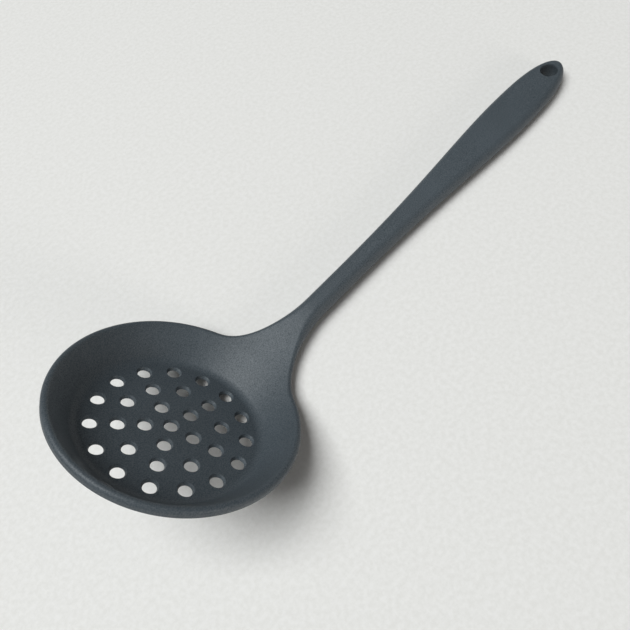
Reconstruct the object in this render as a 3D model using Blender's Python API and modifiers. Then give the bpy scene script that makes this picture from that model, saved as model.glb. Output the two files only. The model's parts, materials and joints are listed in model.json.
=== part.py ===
"""Silicone skimmer: a round perforated dish that runs out into a long flat handle.

The silicone jacket is moulded over a stiff nylon core, which has a hoop in the dish's wall and a stem in the
handle. Sizes are in millimetres and degrees. The shape is drawn with the dish level, its axis at the origin,
the top of its floor at z = 0 and the handle towards +X. It is then laid down the way it rests on a table.
"""
import math
from collections import namedtuple

import bmesh
import bpy
from mathutils import Matrix, Vector

MM = 0.001

# Drain holes: one in the middle, then rings that each gain the same number of holes
RINGS = 3
HOLES_PER_RING_STEP = 5
RING_PITCH = 10.8
DRAIN_RADIUS = 2.8
LIP_RADIUS = 0.8
DRAIN_SHIFT = 1.05

# Dish: its floor is round about the drain holes, and its rim round about the origin
FLOOR_MARGIN = 0.3
FLOOR_THICKNESS = 1.8
FILLET_RADIUS = 7.5
DISH_DEPTH = 13.95
WALL_RUN = 16.15
RIM_THICKNESS = 4.3
RIM_ROUND = 1.7

# Neck and handle
FLARE_RADIUS = 38.9
NECK_WIDTH = 11.25
NECK_THICKNESS = 8.6
BEND_RADIUS = 240.0
HANDLE_ANGLE = 35.8
HANDLE_RUN = 169.4
GRIP_WIDTH = 23.5
GRIP_TO_END = 39.0
GRIP_EASE = 1.55
END_POWER = 3.0
CROWN = 0.5
EDGE_SHARE = 0.9
HANG_RADIUS = 4.6
HANG_TO_END = 9.5

# Core and the space for it in the jacket
SKIN = 0.9
SOFT_EDGE = 2.2
HOOP_INSET = 6.4
EYE_WALL = 2.5
CLEARANCE = 0.25

# Holes that the mould's locating pins leave in the underside
PIN_RADIUS = 1.3
HOOP_PINS = 3
HOOP_PIN_INSET = 4.4
HANDLE_PINS = 2
HANDLE_PIN_SPACING = 70.0

# Steps of the curved surfaces, finer outside than for the core
Steps = namedtuple("Steps", "circle_steps flare_steps handle_steps end_steps "
                            "edge_steps wall_steps fillet_steps cross_steps")
OUTER_STEPS = Steps(circle_steps=26, flare_steps=8, handle_steps=10, end_steps=8,
                    edge_steps=3, wall_steps=2, fillet_steps=4, cross_steps=4)
INNER_STEPS = Steps(circle_steps=13, flare_steps=5, handle_steps=6, end_steps=5,
                    edge_steps=2, wall_steps=1, fillet_steps=0, cross_steps=3)
LIP_STEPS = 2
DRAIN_SEGMENTS = 18
PIN_SEGMENTS = 12
HANG_SEGMENTS = 28

FLOOR_RADIUS = RINGS * RING_PITCH + DRAIN_RADIUS + LIP_RADIUS + FLOOR_MARGIN
RIM_RADIUS = FLOOR_RADIUS + WALL_RUN
NECK_X = math.sqrt((RIM_RADIUS + FLARE_RADIUS) ** 2 - (NECK_WIDTH / 2 + FLARE_RADIUS) ** 2)
END_X = NECK_X + HANDLE_RUN
GRIP_X = END_X - GRIP_TO_END
HANG_X = END_X - HANG_TO_END
CORE_END_RUN = GRIP_TO_END - HANG_TO_END - HANG_RADIUS - EYE_WALL


def smooth_step(share):
    """Ease from 0 to 1 with level ends."""
    share = min(max(share, 0.0), 1.0)
    return share * share * (3 - 2 * share)


def floor_reach(x, y):
    """Distance from the origin to the edge of the flat floor in the direction of a plan point."""
    turn = math.atan2(y, x)
    return math.sqrt(FLOOR_RADIUS ** 2 - (DRAIN_SHIFT * math.sin(turn)) ** 2) - DRAIN_SHIFT * math.cos(turn)


def wall_angle(x, y):
    """Slope of the straight wall between the fillet and the rim in the direction of a plan point."""
    run = RIM_RADIUS - floor_reach(x, y)
    rise = DISH_DEPTH - FILLET_RADIUS
    return math.atan2(rise, run) + math.asin(FILLET_RADIUS / math.hypot(run, rise))


def mid_surface(x, y):
    """Height and slope of the middle of the thickness at a plan point."""
    radius = math.hypot(x, y)
    wall = wall_angle(x, y)
    handle = math.radians(HANDLE_ANGLE)
    floor = -FLOOR_THICKNESS / 2
    from_floor = radius - floor_reach(x, y)
    if from_floor <= 0:
        return floor, 0.0
    if from_floor <= FILLET_RADIUS * math.sin(wall):
        slope = math.asin(from_floor / FILLET_RADIUS)
        return floor + FILLET_RADIUS * (1 - math.cos(slope)), slope
    rim_height = floor + DISH_DEPTH
    if radius <= RIM_RADIUS:
        return rim_height - (RIM_RADIUS - radius) * math.tan(wall), wall
    bend_end = RIM_RADIUS + BEND_RADIUS * (math.sin(wall) - math.sin(handle))
    if radius <= bend_end:
        slope = math.asin(math.sin(wall) - (radius - RIM_RADIUS) / BEND_RADIUS)
        return rim_height + BEND_RADIUS * (math.cos(slope) - math.cos(wall)), slope
    bend_top = rim_height + BEND_RADIUS * (math.cos(handle) - math.cos(wall))
    return bend_top + (radius - bend_end) * math.tan(handle), handle


def neck_share(x, y):
    """How far a plan point has come from the rim, 0, to the narrowest place of the neck, 1."""
    return smooth_step((math.hypot(x, y) - RIM_RADIUS) / (NECK_X - RIM_RADIUS))


def half_thickness(x, y):
    """Half the thickness at a plan point, without the crown."""
    reach = floor_reach(x, y)
    wall_share = smooth_step((math.hypot(x, y) - reach) / (RIM_RADIUS - reach))
    dish = FLOOR_THICKNESS + (RIM_THICKNESS - FLOOR_THICKNESS) * wall_share
    return (dish + (NECK_THICKNESS - dish) * neck_share(x, y)) / 2


def crown(x, y):
    """Extra height of the middle of the neck and handle over their sides."""
    return CROWN * neck_share(x, y) * max(0.0, 1 - (2 * y / GRIP_WIDTH) ** 2)


def handle_half_width(x):
    """Half the handle's width between the neck and the widest place of the grip."""
    neck = NECK_WIDTH / 2
    share = (x - NECK_X) / (GRIP_X - NECK_X)
    return neck + (GRIP_WIDTH / 2 - neck) * smooth_step(share ** GRIP_EASE)


def rim_section(slope, half, share, side):
    """Plan inset and rise of the dish's rim, upright under a round top, a share of the way round it."""
    seam = half - RIM_ROUND * (1 + math.sin(slope))
    if side > 0:
        turn = (math.pi / 2 + slope) * share
        inset = RIM_ROUND * (1 - math.cos(turn))
        rise = seam + RIM_ROUND * math.sin(turn) * math.cos(slope) + inset * math.sin(slope)
    else:
        inset = 0.0
        rise = seam - (half + seam) * share
    return Vector((inset - math.sin(slope) * rise, rise))


class HalfBody:
    """The body on the +Y side, drawn in by an inset at its edge and by another through its thickness.

    The outline runs from the front of the dish to the end of the handle. With an inner radius the dish is
    only a hoop, and without one it has its floor.
    """

    def __init__(self, edge_inset, skin_inset, end_run, inner_radius, steps):
        self.edge_inset = edge_inset
        self.skin_inset = skin_inset
        self.end_run = end_run
        self.inner_radius = inner_radius
        self.throat = steps.circle_steps
        self.neck = self.throat + steps.flare_steps
        self.grip = self.neck + steps.handle_steps
        self.end = self.grip + steps.end_steps
        self.edge_steps = steps.edge_steps
        self.wall_steps = steps.wall_steps
        self.fillet_steps = steps.fillet_steps
        self.cross_steps = steps.cross_steps
        self.dish_rings = steps.wall_steps + steps.fillet_steps
        self.bm = bmesh.new()
        self.vertices = {}

    def outline_point(self, index, inset):
        """Point of the plan outline."""
        flare_y = NECK_WIDTH / 2 + FLARE_RADIUS
        touch = math.atan2(flare_y, NECK_X)
        if index == 0:
            return inset - RIM_RADIUS, 0.0
        if index <= self.throat:
            angle = math.pi + (touch - math.pi) * index / self.throat
            radius = RIM_RADIUS - inset
            return radius * math.cos(angle), radius * math.sin(angle)
        if index <= self.neck:
            share = (index - self.throat) / (self.neck - self.throat)
            angle = touch + math.pi + (math.pi / 2 - touch) * share
            radius = FLARE_RADIUS + inset
            return NECK_X + radius * math.cos(angle), flare_y + radius * math.sin(angle)
        if index <= self.grip:
            x = NECK_X + (GRIP_X - NECK_X) * (index - self.neck) / (self.grip - self.neck)
            return x, handle_half_width(x) - inset
        if index == self.end:
            return GRIP_X + self.end_run - inset, 0.0
        share = math.sin(math.pi / 2 * (index - self.grip) / (self.end - self.grip))
        x = GRIP_X + (self.end_run - inset) * share
        return x, (GRIP_WIDTH / 2 - inset) * math.sqrt(1 - share ** END_POWER)

    def edge_section(self, index, step, side):
        """Plan inset of a step of the edge, and its lift as a share of half the thickness.

        The hoop, the neck and the handle have a round edge. The dish's rim runs out into it along the neck.
        """
        outer = Vector(self.outline_point(index, self.edge_inset))
        inward = (Vector(self.outline_point(index, self.edge_inset + MM)) - outer).normalized()
        outward = -inward.dot(outer.normalized())
        slope = mid_surface(*outer)[1]
        half = half_thickness(*outer) - self.skin_inset
        share = step / self.edge_steps
        sweep = math.pi / 2 * share
        width = EDGE_SHARE * half * math.sqrt(1 - (math.sin(slope) * outward) ** 2)
        section = Vector((width * (1 - math.cos(sweep)), side * half * math.sin(sweep)))
        if not self.inner_radius:
            rim_share = max(0.0, outward) * (1 - neck_share(*outer))
            section = section.lerp(rim_section(slope, half, share, side), rim_share)
        return section.x, section.y / half

    def edge_point(self, index, step, side):
        """Plan point under a step of the edge."""
        return self.outline_point(index, self.edge_inset + self.edge_section(index, step, side)[0])

    def cross_point(self, index, step, side):
        """Plan point on a line across the neck or handle, from its edge to its middle."""
        x, y = self.edge_point(index, self.edge_steps, side)
        throat_x, throat_y = self.edge_point(self.throat, self.edge_steps, side)
        flare = max(0.0, 1 - (index - self.throat) / (self.neck - self.throat))
        bulge = (math.hypot(throat_x, throat_y) - throat_x) * flare
        share = 1 - step / self.cross_steps
        return x + bulge * (1 - share ** 2), y * share

    def vertex(self, key, point, lift):
        """Vertex square to the middle of the thickness at a plan point, by a share of half the thickness."""
        if key in self.vertices:
            return self.vertices[key]
        x, y = point
        height, slope = mid_surface(x, y)
        rise = lift * (half_thickness(x, y) + crown(x, y) - self.skin_inset)
        scale = 1 - math.sin(slope) * rise / math.hypot(x, y)
        place = Vector((x * scale, y * scale, height + math.cos(slope) * rise))
        self.vertices[key] = self.bm.verts.new(place * MM)
        return self.vertices[key]

    def edge_vertex(self, index, step, side):
        """Vertex on the edge."""
        key = ("edge", index, step, side if step else 0)
        lift = self.edge_section(index, step, side)[1]
        return self.vertex(key, self.edge_point(index, step, side), lift)

    def cross_vertex(self, index, step, side):
        """Vertex on a line across the neck or handle."""
        if step == 0 or index == self.end:
            return self.edge_vertex(index, self.edge_steps, side)
        return self.vertex(("cross", index, step, side), self.cross_point(index, step, side), side)

    def dish_vertex(self, spoke, ring, side):
        """Vertex on a spoke of the dish, from its edge or the throat inwards."""
        across = spoke - self.throat
        if ring == 0 and across > 0:
            return self.cross_vertex(self.throat, across, side)
        if ring == 0:
            return self.edge_vertex(spoke, self.edge_steps, side)
        if across > 0:
            x, y = self.cross_point(self.throat, across, side)
        else:
            x, y = self.edge_point(spoke, self.edge_steps, side)
        reach = math.hypot(x, y)
        foot = self.inner_radius
        if not foot:
            slope = wall_angle(x, y) * min(1.0, (self.dish_rings - ring) / self.fillet_steps)
            foot = floor_reach(x, y) + FILLET_RADIUS * math.sin(slope)
        scale = (foot + (reach - foot) * max(0.0, 1 - ring / self.wall_steps)) / reach
        return self.vertex(("dish", spoke, ring, side), (x * scale, y * scale), side)

    def add_face(self, corners, side):
        """Add a face, which is a triangle where two of its corners are one vertex."""
        distinct = list(dict.fromkeys(corners))
        if len(distinct) > 2:
            self.bm.faces.new(distinct if side > 0 else distinct[::-1])

    def add_patch(self, vertex, columns, rows, side):
        """Add a grid of faces over the columns and rows of one kind of vertex."""
        for column in columns:
            for row in range(rows):
                corners = [vertex(column, row, side), vertex(column, row + 1, side),
                           vertex(column + 1, row + 1, side), vertex(column + 1, row, side)]
                self.add_face(corners, side)

    def add_floor(self, spokes, side):
        """Close the dish with one flat face."""
        corners = [self.dish_vertex(spoke, self.dish_rings, side) for spoke in range(spokes, -1, -1)]
        self.add_face(corners, side)

    def add_hoop_face(self, spokes):
        """Close the inside of the hoop between its upper and lower faces."""
        ring = self.dish_rings
        for spoke in range(spokes):
            corners = [self.dish_vertex(spoke, ring, 1), self.dish_vertex(spoke, ring, -1),
                       self.dish_vertex(spoke + 1, ring, -1), self.dish_vertex(spoke + 1, ring, 1)]
            self.add_face(corners, 1)

    def mesh(self, name):
        """All faces of the half body, which is open at the plane of symmetry."""
        spokes = self.throat + self.cross_steps
        for side in (1, -1):
            self.add_patch(self.edge_vertex, range(self.end), self.edge_steps, side)
            self.add_patch(self.cross_vertex, range(self.throat, self.end), self.cross_steps, side)
            self.add_patch(self.dish_vertex, range(spokes), self.dish_rings, side)
            if not self.inner_radius:
                self.add_floor(spokes, side)
        if self.inner_radius:
            self.add_hoop_face(spokes)
        mesh = bpy.data.meshes.new(name)
        self.bm.to_mesh(mesh)
        self.bm.free()
        mesh.shade_smooth()
        return mesh


def surface_frame(x, y):
    """Frame on the middle of the thickness, with its Z axis square to the surface."""
    height, slope = mid_surface(x, y)
    turn = Matrix.Rotation(math.atan2(y, x), 4, "Z") @ Matrix.Rotation(-slope, 4, "Y")
    return Matrix.Translation(Vector((x, y, height)) * MM) @ turn


def drain_frames():
    """Frames on the axes of the drain holes."""
    frames = [surface_frame(-DRAIN_SHIFT, 0.0)]
    for ring in range(1, RINGS + 1):
        count = HOLES_PER_RING_STEP * ring
        for index in range(count):
            angle = 2 * math.pi * index / count
            x = ring * RING_PITCH * math.cos(angle) - DRAIN_SHIFT
            y = ring * RING_PITCH * math.sin(angle)
            frames.append(surface_frame(x, y))
    return frames


def pin_frames():
    """Frames of the locating pin holes, on the underside of the hoop and of the handle."""
    places = []
    for index in range(HOOP_PINS):
        angle = math.pi + 2 * math.pi * index / HOOP_PINS
        radius = RIM_RADIUS - HOOP_PIN_INSET
        places.append((radius * math.cos(angle), radius * math.sin(angle)))
    for index in range(HANDLE_PINS):
        places.append((GRIP_X - index * HANDLE_PIN_SPACING, 0.0))
    frames = []
    for x, y in places:
        depth = half_thickness(x, y) + crown(x, y)
        frames.append(surface_frame(x, y) @ Matrix.Translation((0.0, 0.0, -depth * MM)))
    return frames


def lipped_profile(radius, half_height):
    """Half section of a round cutter that rounds the lips of its hole, from top to bottom."""
    lip = []
    for step in range(LIP_STEPS, -1, -1):
        angle = math.pi / 2 * step / LIP_STEPS
        lip.append(Vector((radius + LIP_RADIUS * (1 - math.cos(angle)),
                           half_height - LIP_RADIUS * (1 - math.sin(angle)))))
    mouth = 2 * lip[0] - lip[1]
    upper = [(0.0, mouth.y), tuple(mouth)] + [tuple(point) for point in lip[1:]]
    return upper + [(distance, -height) for distance, height in reversed(upper)]


def plain_profile(radius, half_height):
    """Half section of a plain round cutter, from top to bottom."""
    return [(0.0, half_height), (radius, half_height), (radius, -half_height), (0.0, -half_height)]


def turned_mesh(name, profile, segments, frames):
    """Turn a half section about Z and place a copy in each frame."""
    line = bpy.data.meshes.new(name)
    corners = [(distance * MM, 0.0, height * MM) for distance, height in profile]
    line.from_pydata(corners, [(index, index + 1) for index in range(len(corners) - 1)], [])
    holder = bpy.data.objects.new(name, line)
    bpy.context.scene.collection.objects.link(holder)
    screw = holder.modifiers.new("turn", "SCREW")
    screw.steps = segments
    screw.render_steps = segments
    screw.use_merge_vertices = True
    screw.merge_threshold = 0.00001
    turned = bpy.data.meshes.new_from_object(holder.evaluated_get(bpy.context.evaluated_depsgraph_get()))
    bpy.data.objects.remove(holder)

    half_step = Matrix.Rotation(math.pi / segments, 4, "Z")
    bm = bmesh.new()
    for frame in frames:
        copy = turned.copy()
        copy.transform(frame @ half_step)
        bm.from_mesh(copy)
        bpy.data.meshes.remove(copy)
    mesh = bpy.data.meshes.new(name)
    bm.to_mesh(mesh)
    bm.free()
    return mesh


def principled(name, colour, roughness):
    """Plain material with a colour and a roughness."""
    material = bpy.data.materials.new(name)
    material.use_nodes = True
    shader = material.node_tree.nodes["Principled BSDF"]
    shader.inputs["Base Color"].default_value = (*colour, 1.0)
    shader.inputs["Roughness"].default_value = roughness
    return material


def add_object(name, mesh, collection, parent):
    """Link a mesh into a collection under the resting frame."""
    item = bpy.data.objects.new(name, mesh)
    collection.objects.link(item)
    item.parent = parent
    return item


def add_cutter(name, mesh, collection, parent):
    """Link a mesh that is only cut with."""
    item = add_object(name, mesh, collection, parent)
    item.hide_render = True
    item.display_type = "WIRE"
    return item


def mirror(item):
    """Complete a half body across the plane of symmetry."""
    modifier = item.modifiers.new("mirror", "MIRROR")
    modifier.use_axis = (False, True, False)
    modifier.merge_threshold = 0.00001


def split_faces(item):
    """Split the faces the same way on the core and on its space, so that the gap between them stays even."""
    modifier = item.modifiers.new("triangles", "TRIANGULATE")
    modifier.quad_method = "FIXED"


def cut(item, cutter):
    """Cut one solid out of another."""
    modifier = item.modifiers.new(cutter.name, "BOOLEAN")
    modifier.operation = "DIFFERENCE"
    modifier.solver = "EXACT"
    modifier.object = cutter


def resting_angle(corners):
    """Angle that brings the dish's heel and the handle's end down to one level."""
    dish = [corner for corner in corners if corner.x < NECK_X * MM]
    handle = [corner for corner in corners if corner.x >= NECK_X * MM]

    def lowest(group, angle):
        return min(corner.z * math.cos(angle) - corner.x * math.sin(angle) for corner in group)

    low = 0.0
    high = math.radians(80)
    for _ in range(50):
        middle = (low + high) / 2
        if lowest(handle, middle) > lowest(dish, middle):
            low = middle
        else:
            high = middle
    return low


def resting_matrix(mesh):
    """Lay the body on the table, with the middle of its footprint box at the origin."""
    corners = [vertex.co for vertex in mesh.vertices]
    turn = Matrix.Rotation(resting_angle(corners), 4, "Y")
    laid = [turn @ corner for corner in corners]
    left = min(corner.x for corner in laid)
    right = max(corner.x for corner in laid)
    lowest = min(corner.z for corner in laid)
    return Matrix.Translation((-(left + right) / 2, 0.0, -lowest)) @ turn


def build():
    for item in list(bpy.data.objects):
        bpy.data.objects.remove(item, do_unlink=True)

    parts = bpy.data.collections.new("Skimmer")
    cutters = bpy.data.collections.new("Cutters")
    for collection in (parts, cutters):
        bpy.context.scene.collection.children.link(collection)

    skin_mesh = HalfBody(0.0, 0.0, GRIP_TO_END, 0.0, OUTER_STEPS).mesh("silicone_jacket")
    rest = bpy.data.objects.new("resting_frame", None)
    parts.objects.link(rest)
    rest.matrix_world = resting_matrix(skin_mesh)

    jacket = add_object("silicone_jacket", skin_mesh, parts, rest)
    mirror(jacket)
    jacket.data.materials.append(principled("slate_silicone", (0.058, 0.066, 0.073), 0.55))

    hoop_radius = RIM_RADIUS - HOOP_INSET
    space_body = HalfBody(SOFT_EDGE, SKIN, CORE_END_RUN, hoop_radius, INNER_STEPS)
    core_space = add_cutter("core_space", space_body.mesh("core_space"), cutters, rest)
    mirror(core_space)
    split_faces(core_space)
    core_edge = SOFT_EDGE + CLEARANCE
    core_skin = SKIN + CLEARANCE
    core_body = HalfBody(core_edge, core_skin, CORE_END_RUN, hoop_radius + CLEARANCE, INNER_STEPS)
    core = add_object("nylon_core", core_body.mesh("nylon_core"), parts, rest)
    mirror(core)
    split_faces(core)
    core.data.materials.append(principled("dark_nylon", (0.02, 0.02, 0.022), 0.6))

    drain = lipped_profile(DRAIN_RADIUS, FLOOR_THICKNESS / 2)
    hang = lipped_profile(HANG_RADIUS, NECK_THICKNESS / 2 + CROWN)
    pin = plain_profile(PIN_RADIUS, SKIN + CLEARANCE / 2)
    cut(jacket, core_space)
    for name, profile, segments, frames in (
            ("drain_cutter", drain, DRAIN_SEGMENTS, drain_frames()),
            ("hang_cutter", hang, HANG_SEGMENTS, [surface_frame(HANG_X, 0.0)]),
            ("pin_cutter", pin, PIN_SEGMENTS, pin_frames())):
        cut(jacket, add_cutter(name, turned_mesh(name, profile, segments, frames), cutters, rest))


build()
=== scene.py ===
"""Looks of the silicone skimmer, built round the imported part.

The jacket is drawn again with fine steps: a round rim with the mould's parting line round it, and
crisp lips on the holes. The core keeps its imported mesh. Sizes are in millimetres and degrees, and the
studio's in metres. The shape is drawn with the dish level and the handle towards +X, and is then laid
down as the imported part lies.
"""

import json
import math
from collections import namedtuple

import bmesh
import bpy
from mathutils import Matrix, Vector

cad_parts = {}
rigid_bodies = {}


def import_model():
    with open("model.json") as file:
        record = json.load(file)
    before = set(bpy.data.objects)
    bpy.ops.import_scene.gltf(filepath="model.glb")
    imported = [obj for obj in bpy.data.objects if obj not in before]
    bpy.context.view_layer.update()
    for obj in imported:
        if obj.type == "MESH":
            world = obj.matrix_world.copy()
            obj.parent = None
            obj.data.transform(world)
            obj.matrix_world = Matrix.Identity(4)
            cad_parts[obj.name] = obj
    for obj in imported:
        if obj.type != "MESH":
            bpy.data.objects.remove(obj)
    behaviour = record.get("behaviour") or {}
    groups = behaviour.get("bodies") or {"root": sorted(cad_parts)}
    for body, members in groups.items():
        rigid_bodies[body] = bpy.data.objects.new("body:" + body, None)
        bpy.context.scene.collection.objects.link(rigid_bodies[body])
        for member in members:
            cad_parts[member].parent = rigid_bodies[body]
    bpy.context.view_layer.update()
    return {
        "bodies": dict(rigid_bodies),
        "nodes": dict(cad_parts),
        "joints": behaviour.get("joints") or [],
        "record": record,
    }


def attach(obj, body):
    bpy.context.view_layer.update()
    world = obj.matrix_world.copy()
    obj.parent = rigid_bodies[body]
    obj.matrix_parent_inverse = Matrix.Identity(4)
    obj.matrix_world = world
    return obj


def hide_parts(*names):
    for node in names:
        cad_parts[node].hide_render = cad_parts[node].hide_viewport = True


MM = 0.001
MERGE_DISTANCE = 0.01 * MM
REST_ANGLE = 36.2025

# Drain holes: one in the middle, then rings that each gain the same number of holes
RINGS = 3
HOLES_PER_RING_STEP = 5
RING_PITCH = 10.8
DRAIN_RADIUS = 2.8
LIP_WIDTH = 0.65
LIP_DEPTH = 1.4
FOOT_LIP = 0.3
LIP_POWER = 1.1
DRAIN_SHIFT = 1.05

# Dish: its floor is round about the drain holes, and its rim round about the origin
FLOOR_MARGIN = 0.45
FLOOR_THICKNESS = 1.8
FILLET_RADIUS = 7.5
DISH_DEPTH = 13.95
WALL_RUN = 16.15
RIM_THICKNESS = 4.3
RIM_ROUND = 1.7

# Neck and handle
FLARE_RADIUS = 38.9
NECK_WIDTH = 11.25
NECK_THICKNESS = 8.6
BEND_RADIUS = 240.0
HANDLE_ANGLE = 35.8
HANDLE_RUN = 169.4
GRIP_WIDTH = 23.5
GRIP_TO_END = 39.0
GRIP_EASE = 1.55
END_POWER = 3.0
CROWN = 0.5
EDGE_SHARE = 0.9
HANG_RADIUS = 4.6
HANG_STRETCH = 1.1
HANG_LIP = 0.3
HANG_LIP_DEPTH = 0.8
HANG_TO_END = 9.5

# Parting line round the rim
SEAM_HEIGHT = 0.06
SEAM_SHARE = 0.04

# Space for the core, and the holes that the mould's locating pins leave
SKIN = 0.9
SOFT_EDGE = 2.2
HOOP_INSET = 6.4
EYE_WALL = 2.5
PIN_RADIUS = 1.3
HOOP_PINS = 3
HOOP_PIN_INSET = 4.4
HANDLE_PINS = 2
HANDLE_PIN_SPACING = 70.0
PIN_OVERCUT = 0.1

# Fineness of the meshes, and the angle from which an edge stays sharp
Steps = namedtuple("Steps", "circle_steps flare_steps handle_steps end_steps "
                            "edge_steps wall_steps fillet_steps cross_steps")
OUTER_STEPS = Steps(circle_steps=78, flare_steps=24, handle_steps=40, end_steps=28,
                    edge_steps=13, wall_steps=8, fillet_steps=12, cross_steps=10)
INNER_STEPS = Steps(circle_steps=13, flare_steps=5, handle_steps=6, end_steps=5,
                    edge_steps=2, wall_steps=1, fillet_steps=0, cross_steps=3)
LIP_STEPS = 5
DRAIN_SEGMENTS = 40
PIN_SEGMENTS = 20
HANG_SEGMENTS = 56
PLAN_STEP = 0.001
SHARP_ANGLE = 32.0

# Materials: sizes of grains and heights of bumps in millimetres, and pairs of linear colours
CLOUD_SIZE = 28.0
GRAIN_SIZE = 0.5
GRAIN_HEIGHT = 0.03
DARK_SILICONE = ((0.040, 0.050, 0.057), (0.046, 0.058, 0.067))
PALE_SILICONE = ((0.076, 0.093, 0.107), (0.088, 0.107, 0.123))
FIBRE_SIZE = 0.8
FIBRE_HEIGHT = 0.02
NYLON_COLOURS = ((0.018, 0.018, 0.020), (0.045, 0.045, 0.048))
SPECKLE_SIZE = 2.2
TABLE_COLOURS = ((0.83, 0.81, 0.775), (0.89, 0.87, 0.84))
TABLE_ROUGHNESS = 0.7
BUMP_STRENGTH = 0.3
NOISE_LOW = 0.3
NOISE_HIGH = 0.7

# Studio, in metres: the table, the lights round the dish, and the brightness of the room
TABLE_HALF = 2.0
LIGHT_DISTANCE = 8.0
LIGHT_TARGET = (-0.05, 0.0, 0.02)
ROOM_COLOUR = (0.95, 0.95, 0.95, 1.0)
ROOM_LIGHT = 0.09
ROOM_WALL = 0.8

# The photograph's view: place in metres, turn in degrees, lens and sensor in millimetres
CAMERA_PLACE = (-0.132207, -0.115172, 0.270423)
CAMERA_TURN = (27.6252, 5.2525, -47.1927)
CAMERA_LENS = 35.583
CAMERA_SENSOR = 36.0
CAMERA_CLIP = 0.01

FLOOR_RADIUS = RINGS * RING_PITCH + DRAIN_RADIUS + LIP_WIDTH + FLOOR_MARGIN
RIM_RADIUS = FLOOR_RADIUS + WALL_RUN
NECK_X = math.sqrt((RIM_RADIUS + FLARE_RADIUS) ** 2 - (NECK_WIDTH / 2 + FLARE_RADIUS) ** 2)
END_X = NECK_X + HANDLE_RUN
GRIP_X = END_X - GRIP_TO_END
HANG_X = END_X - HANG_TO_END
CORE_END_RUN = GRIP_TO_END - HANG_TO_END - HANG_RADIUS - EYE_WALL


def smooth_step(share):
    """Ease from 0 to 1 with level ends."""
    share = min(max(share, 0.0), 1.0)
    return share * share * (3 - 2 * share)


def floor_reach(x, y):
    """Distance from the origin to the edge of the flat floor in the direction of a plan point."""
    turn = math.atan2(y, x)
    sideways = DRAIN_SHIFT * math.sin(turn)
    return math.sqrt(FLOOR_RADIUS ** 2 - sideways ** 2) - DRAIN_SHIFT * math.cos(turn)


def wall_angle(x, y):
    """Slope of the straight wall between the fillet and the rim in the direction of a plan point."""
    run = RIM_RADIUS - floor_reach(x, y)
    rise = DISH_DEPTH - FILLET_RADIUS
    return math.atan2(rise, run) + math.asin(FILLET_RADIUS / math.hypot(run, rise))


def mid_surface(x, y):
    """Height and slope of the middle of the thickness at a plan point."""
    radius = math.hypot(x, y)
    wall = wall_angle(x, y)
    handle = math.radians(HANDLE_ANGLE)
    floor = -FLOOR_THICKNESS / 2
    from_floor = radius - floor_reach(x, y)
    if from_floor <= 0:
        return floor, 0.0
    if from_floor <= FILLET_RADIUS * math.sin(wall):
        slope = math.asin(from_floor / FILLET_RADIUS)
        return floor + FILLET_RADIUS * (1 - math.cos(slope)), slope
    rim_height = floor + DISH_DEPTH
    if radius <= RIM_RADIUS:
        return rim_height - (RIM_RADIUS - radius) * math.tan(wall), wall
    bend_end = RIM_RADIUS + BEND_RADIUS * (math.sin(wall) - math.sin(handle))
    if radius <= bend_end:
        slope = math.asin(math.sin(wall) - (radius - RIM_RADIUS) / BEND_RADIUS)
        return rim_height + BEND_RADIUS * (math.cos(slope) - math.cos(wall)), slope
    bend_top = rim_height + BEND_RADIUS * (math.cos(handle) - math.cos(wall))
    return bend_top + (radius - bend_end) * math.tan(handle), handle


def neck_share(x, y):
    """How far a plan point has come from the rim, 0, to the narrowest place of the neck, 1."""
    return smooth_step((math.hypot(x, y) - RIM_RADIUS) / (NECK_X - RIM_RADIUS))


def half_thickness(x, y):
    """Half the thickness at a plan point, without the crown."""
    reach = floor_reach(x, y)
    wall_share = smooth_step((math.hypot(x, y) - reach) / (RIM_RADIUS - reach))
    dish = FLOOR_THICKNESS + (RIM_THICKNESS - FLOOR_THICKNESS) * wall_share
    return (dish + (NECK_THICKNESS - dish) * neck_share(x, y)) / 2


def crown(x, y):
    """Extra height of the middle of the neck and handle over their sides."""
    return CROWN * neck_share(x, y) * max(0.0, 1 - (2 * y / GRIP_WIDTH) ** 2)


def handle_half_width(x):
    """Half the handle's width between the neck and the widest place of the grip."""
    neck = NECK_WIDTH / 2
    share = (x - NECK_X) / (GRIP_X - NECK_X)
    return neck + (GRIP_WIDTH / 2 - neck) * smooth_step(share ** GRIP_EASE)


def rim_section(slope, half, share, side):
    """Plan inset and rise of the dish's rim, upright under a round top, a share of the way round it."""
    seam = half - RIM_ROUND * (1 + math.sin(slope))
    if side > 0:
        turn = (math.pi / 2 + slope) * share
        inset = RIM_ROUND * (1 - math.cos(turn))
        rise = seam + RIM_ROUND * math.sin(turn) * math.cos(slope) + inset * math.sin(slope)
    else:
        inset = 0.0
        rise = seam - (half + seam) * share
    return Vector((inset - math.sin(slope) * rise, rise))


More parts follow.
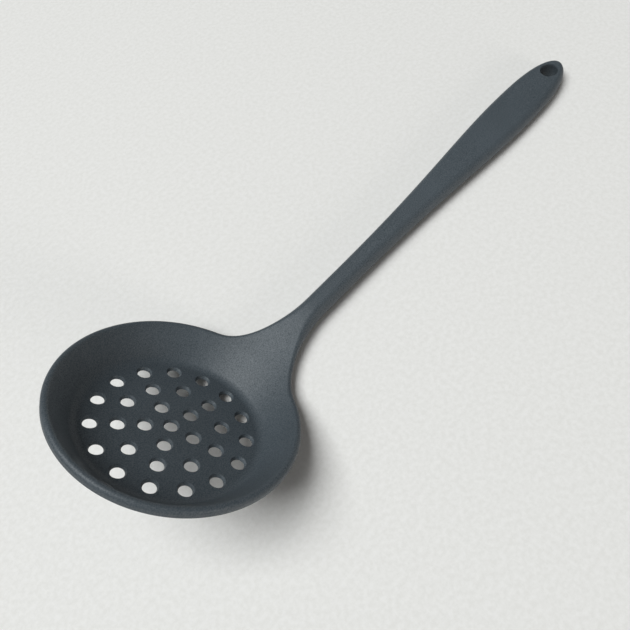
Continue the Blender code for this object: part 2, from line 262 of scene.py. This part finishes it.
class HalfBody:
    """The body on the +Y side, drawn in by an inset at its edge and by another through its thickness.

    The outline runs from the front of the dish to the end of the handle. With an inner radius the dish
    is only a hoop, and without one it has its floor. A seam height adds the parting line round the rim.
    """

    def __init__(self, edge_inset, skin_inset, end_run, inner_radius, seam_height, steps):
        self.edge_inset = edge_inset
        self.skin_inset = skin_inset
        self.end_run = end_run
        self.inner_radius = inner_radius
        self.seam_height = seam_height
        self.throat = steps.circle_steps
        self.neck = self.throat + steps.flare_steps
        self.grip = self.neck + steps.handle_steps
        self.end = self.grip + steps.end_steps
        self.edge_steps = steps.edge_steps
        self.wall_steps = steps.wall_steps
        self.fillet_steps = steps.fillet_steps
        self.cross_steps = steps.cross_steps
        self.dish_rings = steps.wall_steps + steps.fillet_steps
        self.bm = bmesh.new()
        self.vertices = {}

    def outline_point(self, index, inset):
        """Point of the plan outline."""
        flare_y = NECK_WIDTH / 2 + FLARE_RADIUS
        touch = math.atan2(flare_y, NECK_X)
        if index == 0:
            return inset - RIM_RADIUS, 0.0
        if index <= self.throat:
            angle = math.pi + (touch - math.pi) * index / self.throat
            radius = RIM_RADIUS - inset
            return radius * math.cos(angle), radius * math.sin(angle)
        if index <= self.neck:
            share = (index - self.throat) / (self.neck - self.throat)
            angle = touch + math.pi + (math.pi / 2 - touch) * share
            radius = FLARE_RADIUS + inset
            return NECK_X + radius * math.cos(angle), flare_y + radius * math.sin(angle)
        if index <= self.grip:
            x = NECK_X + (GRIP_X - NECK_X) * (index - self.neck) / (self.grip - self.neck)
            return x, handle_half_width(x) - inset
        if index == self.end:
            return GRIP_X + self.end_run - inset, 0.0
        share = math.sin(math.pi / 2 * (index - self.grip) / (self.end - self.grip))
        x = GRIP_X + (self.end_run - inset) * share
        return x, (GRIP_WIDTH / 2 - inset) * math.sqrt(1 - share ** END_POWER)

    def edge_section(self, index, step, side):
        """Plan inset of a step of the edge, and its lift as a share of half the thickness.

        The hoop, the neck and the handle have a round edge. The dish's rim runs out into it along the
        neck. The first step is the ridge of the parting line, and the next lies close beside it.
        """
        outer = Vector(self.outline_point(index, self.edge_inset))
        inner = Vector(self.outline_point(index, self.edge_inset + PLAN_STEP))
        inward = (inner - outer).normalized()
        outward = -inward.dot(outer.normalized())
        slope = mid_surface(*outer)[1]
        half = half_thickness(*outer) - self.skin_inset
        share = step / self.edge_steps
        if self.seam_height and step:
            share = SEAM_SHARE + (1 - SEAM_SHARE) * (step - 1) / (self.edge_steps - 1)
        sweep = math.pi / 2 * share
        width = EDGE_SHARE * half * math.sqrt(1 - (math.sin(slope) * outward) ** 2)
        section = Vector((width * (1 - math.cos(sweep)), side * half * math.sin(sweep)))
        if not self.inner_radius:
            rim_share = max(0.0, outward) * (1 - neck_share(*outer))
            section = section.lerp(rim_section(slope, half, share, side), rim_share)
            if step == 0:
                tilt = slope * rim_share
                section -= self.seam_height * rim_share * Vector((math.cos(tilt) ** 2, math.sin(tilt)))
        return section.x, section.y / half

    def edge_point(self, index, step, side):
        """Plan point under a step of the edge."""
        return self.outline_point(index, self.edge_inset + self.edge_section(index, step, side)[0])

    def cross_point(self, index, step, side):
        """Plan point on a line across the neck or handle, from its edge to its middle."""
        x, y = self.edge_point(index, self.edge_steps, side)
        throat_x, throat_y = self.edge_point(self.throat, self.edge_steps, side)
        flare = max(0.0, 1 - (index - self.throat) / (self.neck - self.throat))
        bulge = (math.hypot(throat_x, throat_y) - throat_x) * flare
        share = 1 - step / self.cross_steps
        return x + bulge * (1 - share ** 2), y * share

    def vertex(self, key, point, lift):
        """Vertex square to the mid surface at a plan point, by a share of half the thickness."""
        if key in self.vertices:
            return self.vertices[key]
        x, y = point
        height, slope = mid_surface(x, y)
        rise = lift * (half_thickness(x, y) + crown(x, y) - self.skin_inset)
        scale = 1 - math.sin(slope) * rise / math.hypot(x, y)
        place = Vector((x * scale, y * scale, height + math.cos(slope) * rise))
        self.vertices[key] = self.bm.verts.new(place * MM)
        return self.vertices[key]

    def edge_vertex(self, index, step, side):
        """Vertex on the edge."""
        key = ("edge", index, step, side if step else 0)
        lift = self.edge_section(index, step, side)[1]
        return self.vertex(key, self.edge_point(index, step, side), lift)

    def cross_vertex(self, index, step, side):
        """Vertex on a line across the neck or handle."""
        if step == 0 or index == self.end:
            return self.edge_vertex(index, self.edge_steps, side)
        return self.vertex(("cross", index, step, side), self.cross_point(index, step, side), side)

    def dish_vertex(self, spoke, ring, side):
        """Vertex on a spoke of the dish, from its edge or the throat inwards."""
        across = spoke - self.throat
        if ring == 0 and across > 0:
            return self.cross_vertex(self.throat, across, side)
        if ring == 0:
            return self.edge_vertex(spoke, self.edge_steps, side)
        if across > 0:
            x, y = self.cross_point(self.throat, across, side)
        else:
            x, y = self.edge_point(spoke, self.edge_steps, side)
        reach = math.hypot(x, y)
        foot = self.inner_radius
        if not foot:
            slope = wall_angle(x, y) * min(1.0, (self.dish_rings - ring) / self.fillet_steps)
            foot = floor_reach(x, y) + FILLET_RADIUS * math.sin(slope)
        scale = (foot + (reach - foot) * max(0.0, 1 - ring / self.wall_steps)) / reach
        return self.vertex(("dish", spoke, ring, side), (x * scale, y * scale), side)

    def add_face(self, corners, side):
        """Add a face, which is a triangle where two of its corners are one vertex."""
        distinct = list(dict.fromkeys(corners))
        if len(distinct) > 2:
            self.bm.faces.new(distinct if side > 0 else distinct[::-1])

    def add_patch(self, vertex, columns, rows, side):
        """Add a grid of faces over the columns and rows of one kind of vertex."""
        for column in columns:
            for row in range(rows):
                corners = [vertex(column, row, side), vertex(column, row + 1, side),
                           vertex(column + 1, row + 1, side), vertex(column + 1, row, side)]
                self.add_face(corners, side)

    def add_floor(self, spokes, side):
        """Close the dish with one flat face."""
        corners = [self.dish_vertex(spoke, self.dish_rings, side) for spoke in range(spokes, -1, -1)]
        self.add_face(corners, side)

    def add_hoop_face(self, spokes):
        """Close the inside of the hoop between its upper and lower faces."""
        ring = self.dish_rings
        for spoke in range(spokes):
            corners = [self.dish_vertex(spoke, ring, 1), self.dish_vertex(spoke, ring, -1),
                       self.dish_vertex(spoke + 1, ring, -1), self.dish_vertex(spoke + 1, ring, 1)]
            self.add_face(corners, 1)

    def mesh(self, name):
        """All faces of the half body, which is open at the plane of symmetry."""
        spokes = self.throat + self.cross_steps
        for side in (1, -1):
            self.add_patch(self.edge_vertex, range(self.end), self.edge_steps, side)
            self.add_patch(self.cross_vertex, range(self.throat, self.end), self.cross_steps, side)
            self.add_patch(self.dish_vertex, range(spokes), self.dish_rings, side)
            if not self.inner_radius:
                self.add_floor(spokes, side)
        if self.inner_radius:
            self.add_hoop_face(spokes)
        mesh = bpy.data.meshes.new(name)
        self.bm.to_mesh(mesh)
        self.bm.free()
        return mesh


def surface_frame(x, y):
    """Frame on the middle of the thickness, with its Z axis square to the surface."""
    height, slope = mid_surface(x, y)
    turn = Matrix.Rotation(math.atan2(y, x), 4, "Z") @ Matrix.Rotation(-slope, 4, "Y")
    return Matrix.Translation(Vector((x, y, height)) * MM) @ turn


def drain_frames():
    """Frames on the axes of the drain holes."""
    frames = [surface_frame(-DRAIN_SHIFT, 0.0)]
    for ring in range(1, RINGS + 1):
        count = HOLES_PER_RING_STEP * ring
        for index in range(count):
            angle = 2 * math.pi * index / count
            x = ring * RING_PITCH * math.cos(angle) - DRAIN_SHIFT
            y = ring * RING_PITCH * math.sin(angle)
            frames.append(surface_frame(x, y))
    return frames


def pin_frames():
    """Frames of the locating pin holes, on the underside of the hoop and of the handle."""
    places = []
    for index in range(HOOP_PINS):
        angle = math.pi + 2 * math.pi * index / HOOP_PINS
        radius = RIM_RADIUS - HOOP_PIN_INSET
        places.append((radius * math.cos(angle), radius * math.sin(angle)))
    for index in range(HANDLE_PINS):
        places.append((GRIP_X - index * HANDLE_PIN_SPACING, 0.0))
    frames = []
    for x, y in places:
        depth = half_thickness(x, y) + crown(x, y)
        frames.append(surface_frame(x, y) @ Matrix.Translation((0.0, 0.0, -depth * MM)))
    return frames


def lip_section(radius, height, width, depth):
    """Half section of a cutter's upper end for a steep lip with an eased brim, from the top down."""
    lip = []
    for step in range(LIP_STEPS, -1, -1):
        angle = math.pi / 2 * step / LIP_STEPS
        lip.append(Vector((radius + width * (1 - math.cos(angle) ** (2 / LIP_POWER)),
                           height - depth * (1 - math.sin(angle) ** (2 / LIP_POWER)))))
    mouth = 2 * lip[0] - lip[1]
    return [(0.0, mouth.y), tuple(mouth)] + [tuple(point) for point in lip[1:]]


def lipped_profile(radius, half_height, upper_lip, lower_lip):
    """Half section of a round cutter with a lip at each end of its hole, from top to bottom."""
    lower = lip_section(radius, half_height, *lower_lip)
    turned_over = [(distance, -height) for distance, height in reversed(lower)]
    return lip_section(radius, half_height, *upper_lip) + turned_over


def plain_profile(radius, half_height):
    """Half section of a plain round cutter, from top to bottom."""
    return [(0.0, half_height), (radius, half_height), (radius, -half_height), (0.0, -half_height)]


def turned_mesh(name, profile, segments, frames):
    """Turn a half section about Z and place a copy in each frame."""
    line = bpy.data.meshes.new(name)
    corners = [(distance * MM, 0.0, height * MM) for distance, height in profile]
    line.from_pydata(corners, [(index, index + 1) for index in range(len(corners) - 1)], [])
    holder = bpy.data.objects.new(name, line)
    screw = holder.modifiers.new("turn", "SCREW")
    screw.steps = segments
    screw.use_merge_vertices = True
    screw.merge_threshold = MERGE_DISTANCE
    turned = baked_mesh(holder)

    half_step = Matrix.Rotation(math.pi / segments, 4, "Z")
    bm = bmesh.new()
    for frame in frames:
        copy = turned.copy()
        copy.transform(frame @ half_step)
        bm.from_mesh(copy)
        bpy.data.meshes.remove(copy)
    mesh = bpy.data.meshes.new(name)
    bm.to_mesh(mesh)
    bm.free()
    return mesh


def baked_mesh(item):
    """Mesh of an object with its modifiers applied; the object itself goes."""
    bpy.context.scene.collection.objects.link(item)
    graph = bpy.context.evaluated_depsgraph_get()
    mesh = bpy.data.meshes.new_from_object(item.evaluated_get(graph))
    bpy.data.objects.remove(item)
    return mesh


def mirrored_mesh(half):
    """Complete a half body across the plane of symmetry."""
    item = bpy.data.objects.new(half.name, half)
    modifier = item.modifiers.new("mirror", "MIRROR")
    modifier.use_axis = (False, True, False)
    modifier.merge_threshold = MERGE_DISTANCE
    return baked_mesh(item)


def cut_mesh(mesh, cutter_meshes):
    """Cut solids out of a mesh."""
    item = bpy.data.objects.new(mesh.name, mesh)
    cutters = []
    for cutter_mesh in cutter_meshes:
        cutter = bpy.data.objects.new(cutter_mesh.name, cutter_mesh)
        bpy.context.scene.collection.objects.link(cutter)
        modifier = item.modifiers.new(cutter.name, "BOOLEAN")
        modifier.operation = "DIFFERENCE"
        modifier.solver = "EXACT"
        modifier.object = cutter
        cutters.append(cutter)
    result = baked_mesh(item)
    for cutter in cutters:
        bpy.data.objects.remove(cutter)
    return result


def laid_down(mesh):
    """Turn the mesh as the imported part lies, with the middle of its footprint box at the origin."""
    mesh.transform(Matrix.Rotation(math.radians(REST_ANGLE), 4, "Y"))
    corners = [vertex.co for vertex in mesh.vertices]
    left = min(corner.x for corner in corners)
    right = max(corner.x for corner in corners)
    lowest = min(corner.z for corner in corners)
    mesh.transform(Matrix.Translation((-(left + right) / 2, 0.0, -lowest)))


def make_jacket():
    """The silicone jacket, hollow for the core."""
    body = HalfBody(edge_inset=0.0, skin_inset=0.0, end_run=GRIP_TO_END, inner_radius=0.0,
                    seam_height=SEAM_HEIGHT, steps=OUTER_STEPS)
    space = HalfBody(edge_inset=SOFT_EDGE, skin_inset=SKIN, end_run=CORE_END_RUN,
                     inner_radius=RIM_RADIUS - HOOP_INSET, seam_height=0.0, steps=INNER_STEPS)
    drain_lip = (LIP_WIDTH, LIP_DEPTH)
    foot_lip = (FOOT_LIP, FOOT_LIP)
    hang_lip = (HANG_LIP, HANG_LIP_DEPTH)
    drain = lipped_profile(DRAIN_RADIUS, FLOOR_THICKNESS / 2, drain_lip, foot_lip)
    hang = lipped_profile(HANG_RADIUS, NECK_THICKNESS / 2 + CROWN, hang_lip, hang_lip)
    pin = plain_profile(PIN_RADIUS, SKIN + PIN_OVERCUT)
    eye = surface_frame(HANG_X, 0.0) @ Matrix.Diagonal((HANG_STRETCH, 1.0, 1.0, 1.0))
    mesh = cut_mesh(mirrored_mesh(body.mesh("jacket_body")), [
        mirrored_mesh(space.mesh("core_space")),
        turned_mesh("drain_cutter", drain, DRAIN_SEGMENTS, drain_frames()),
        turned_mesh("hang_cutter", hang, HANG_SEGMENTS, [eye]),
        turned_mesh("pin_cutter", pin, PIN_SEGMENTS, pin_frames())])
    laid_down(mesh)
    mesh.shade_smooth()
    mesh.set_sharp_from_angle(angle=math.radians(SHARP_ANGLE))
    jacket = bpy.data.objects.new("silicone_jacket_fine", mesh)
    bpy.context.scene.collection.objects.link(jacket)
    normals = jacket.modifiers.new("normals", "WEIGHTED_NORMAL")
    normals.keep_sharp = True
    return jacket


class NodeMaterial:
    """A material whose Principled shader is fed by textures in the part's own coordinates."""

    def __init__(self, name):
        self.material = bpy.data.materials.new(name)
        self.material.use_nodes = True
        self.tree = self.material.node_tree
        self.shader = self.tree.nodes["Principled BSDF"]
        self.place = self.tree.nodes.new("ShaderNodeTexCoord").outputs["Object"]

    def noise(self, size_mm, detail, roughness=0.5):
        """Noise whose grains have about this size."""
        node = self.tree.nodes.new("ShaderNodeTexNoise")
        node.inputs["Scale"].default_value = 1 / (size_mm * MM)
        node.inputs["Detail"].default_value = detail
        node.inputs["Roughness"].default_value = roughness
        self.tree.links.new(self.place, node.inputs["Vector"])
        return node.outputs["Fac"]

    def ramp(self, value, colours, low=NOISE_LOW, high=NOISE_HIGH):
        """One colour up to a low value, running into another at a high value."""
        node = self.tree.nodes.new("ShaderNodeValToRGB")
        for element, position, colour in zip(node.color_ramp.elements, (low, high), colours):
            element.position = position
            element.color = (*colour, 1.0)
        self.tree.links.new(value, node.inputs["Fac"])
        return node.outputs["Color"]

    def spread(self, value, low, high):
        """The middle of a noise's range stretched to run from low to high."""
        node = self.tree.nodes.new("ShaderNodeMapRange")
        node.inputs["From Min"].default_value = NOISE_LOW
        node.inputs["From Max"].default_value = NOISE_HIGH
        node.inputs["To Min"].default_value = low
        node.inputs["To Max"].default_value = high
        self.tree.links.new(value, node.inputs["Value"])
        return node.outputs["Result"]

    def mix(self, share, first, second):
        """Colours mixed by a value."""
        node = self.tree.nodes.new("ShaderNodeMix")
        node.data_type = "RGBA"
        self.tree.links.new(share, node.inputs["Factor"])
        self.tree.links.new(first, node.inputs["A"])
        self.tree.links.new(second, node.inputs["B"])
        return node.outputs["Result"]

    def bump(self, value, height_mm):
        """Bump of a height."""
        node = self.tree.nodes.new("ShaderNodeBump")
        node.inputs["Distance"].default_value = height_mm * MM
        node.inputs["Strength"].default_value = BUMP_STRENGTH
        self.tree.links.new(value, node.inputs["Height"])
        return node.outputs["Normal"]

    def feed(self, socket, value):
        """Link a texture to the shader, or set a constant on it."""
        if isinstance(value, (int, float)):
            self.shader.inputs[socket].default_value = value
        else:
            self.tree.links.new(value, self.shader.inputs[socket])


def silicone_material():
    """Matt slate silicone with a very fine grain and soft cloudy patches."""
    look = NodeMaterial("slate_silicone_grain")
    clouds = look.noise(CLOUD_SIZE, detail=3.0)
    grain = look.noise(GRAIN_SIZE, detail=2.0, roughness=0.6)
    dark = look.ramp(clouds, DARK_SILICONE)
    pale = look.ramp(clouds, PALE_SILICONE)
    look.feed("Base Color", look.mix(look.spread(grain, low=0.25, high=0.75), dark, pale))
    look.feed("Roughness", look.spread(grain, low=0.46, high=0.58))
    look.feed("Specular IOR Level", look.spread(grain, low=0.12, high=0.88))
    look.feed("Normal", look.bump(grain, GRAIN_HEIGHT))
    return look.material


def nylon_material():
    """Dark nylon with short pale fibres just under its skin."""
    look = NodeMaterial("dark_nylon_fibre")
    fibres = look.noise(FIBRE_SIZE, detail=4.0, roughness=0.7)
    look.feed("Base Color", look.ramp(fibres, NYLON_COLOURS, low=0.45, high=0.8))
    look.feed("Roughness", look.spread(fibres, low=0.5, high=0.68))
    look.feed("Normal", look.bump(fibres, FIBRE_HEIGHT))
    return look.material


def floor_material():
    """Pale matt table."""
    look = NodeMaterial("pale_table")
    speckle = look.noise(SPECKLE_SIZE, detail=3.0, roughness=0.6)
    look.feed("Base Color", look.ramp(speckle, TABLE_COLOURS, low=0.35, high=0.65))
    look.feed("Roughness", TABLE_ROUGHNESS)
    return look.material


def make_floor():
    """A wide table under the part."""
    mesh = bpy.data.meshes.new("table")
    signs = [(-1, -1), (1, -1), (1, 1), (-1, 1)]
    corners = [(TABLE_HALF * x_sign, TABLE_HALF * y_sign, 0.0) for x_sign, y_sign in signs]
    mesh.from_pydata(corners, [], [range(len(corners))])
    mesh.materials.append(floor_material())
    floor = bpy.data.objects.new("table", mesh)
    bpy.context.scene.collection.objects.link(floor)
    return floor


def add_light(name, azimuth, elevation, size, power, colour):
    """Soft square light that faces the dish from an azimuth and an elevation."""
    lamp = bpy.data.lights.new(name, "AREA")
    lamp.size = size
    lamp.energy = power
    lamp.color = colour
    item = bpy.data.objects.new(name, lamp)
    swing = Matrix.Rotation(math.radians(azimuth), 4, "Z")
    lift = Matrix.Rotation(math.radians(-elevation), 4, "Y")
    out = Matrix.Translation((LIGHT_DISTANCE, 0.0, 0.0)) @ Matrix.Rotation(math.radians(90), 4, "Y")
    item.matrix_world = Matrix.Translation(LIGHT_TARGET) @ swing @ lift @ out
    item.visible_camera = False
    bpy.context.scene.collection.objects.link(item)


def make_lights():
    """A large light high over the dish, a weak low one at the near side, and a dim pale room."""
    add_light("key", azimuth=142, elevation=65, size=5.2, power=632.0, colour=(0.95, 0.985, 1.0))
    add_light("front", azimuth=270, elevation=14, size=2.8, power=132.0, colour=(1.0, 0.97, 0.94))
    world = bpy.data.worlds.new("room")
    world.use_nodes = True
    tree = world.node_tree
    back = tree.nodes["Background"]
    back.inputs["Color"].default_value = ROOM_COLOUR
    path = tree.nodes.new("ShaderNodeLightPath")
    strength = tree.nodes.new("ShaderNodeMapRange")
    strength.inputs["To Min"].default_value = ROOM_LIGHT
    strength.inputs["To Max"].default_value = ROOM_WALL
    tree.links.new(path.outputs["Is Camera Ray"], strength.inputs["Value"])
    tree.links.new(strength.outputs["Result"], back.inputs["Strength"])
    bpy.context.scene.world = world


def make_camera():
    """The photograph's view: close to the dish, from above and to one side."""
    data = bpy.data.cameras.new("camera")
    data.lens = CAMERA_LENS
    data.sensor_width = CAMERA_SENSOR
    data.clip_start = CAMERA_CLIP
    camera = bpy.data.objects.new("camera", data)
    camera.location = CAMERA_PLACE
    camera.rotation_euler = [math.radians(angle) for angle in CAMERA_TURN]
    bpy.context.scene.collection.objects.link(camera)
    bpy.context.scene.camera = camera


for leftover in list(bpy.data.objects):
    bpy.data.objects.remove(leftover, do_unlink=True)
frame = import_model()

jacket_piece = make_jacket()
jacket_piece.data.materials.append(silicone_material())
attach(jacket_piece, "root")
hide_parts("silicone_jacket")

core_node = frame["nodes"]["nylon_core"]
core_node.data.materials.clear()
core_node.data.materials.append(nylon_material())

make_floor()
make_lights()
make_camera()
bpy.context.scene.view_settings.view_transform = "Standard"
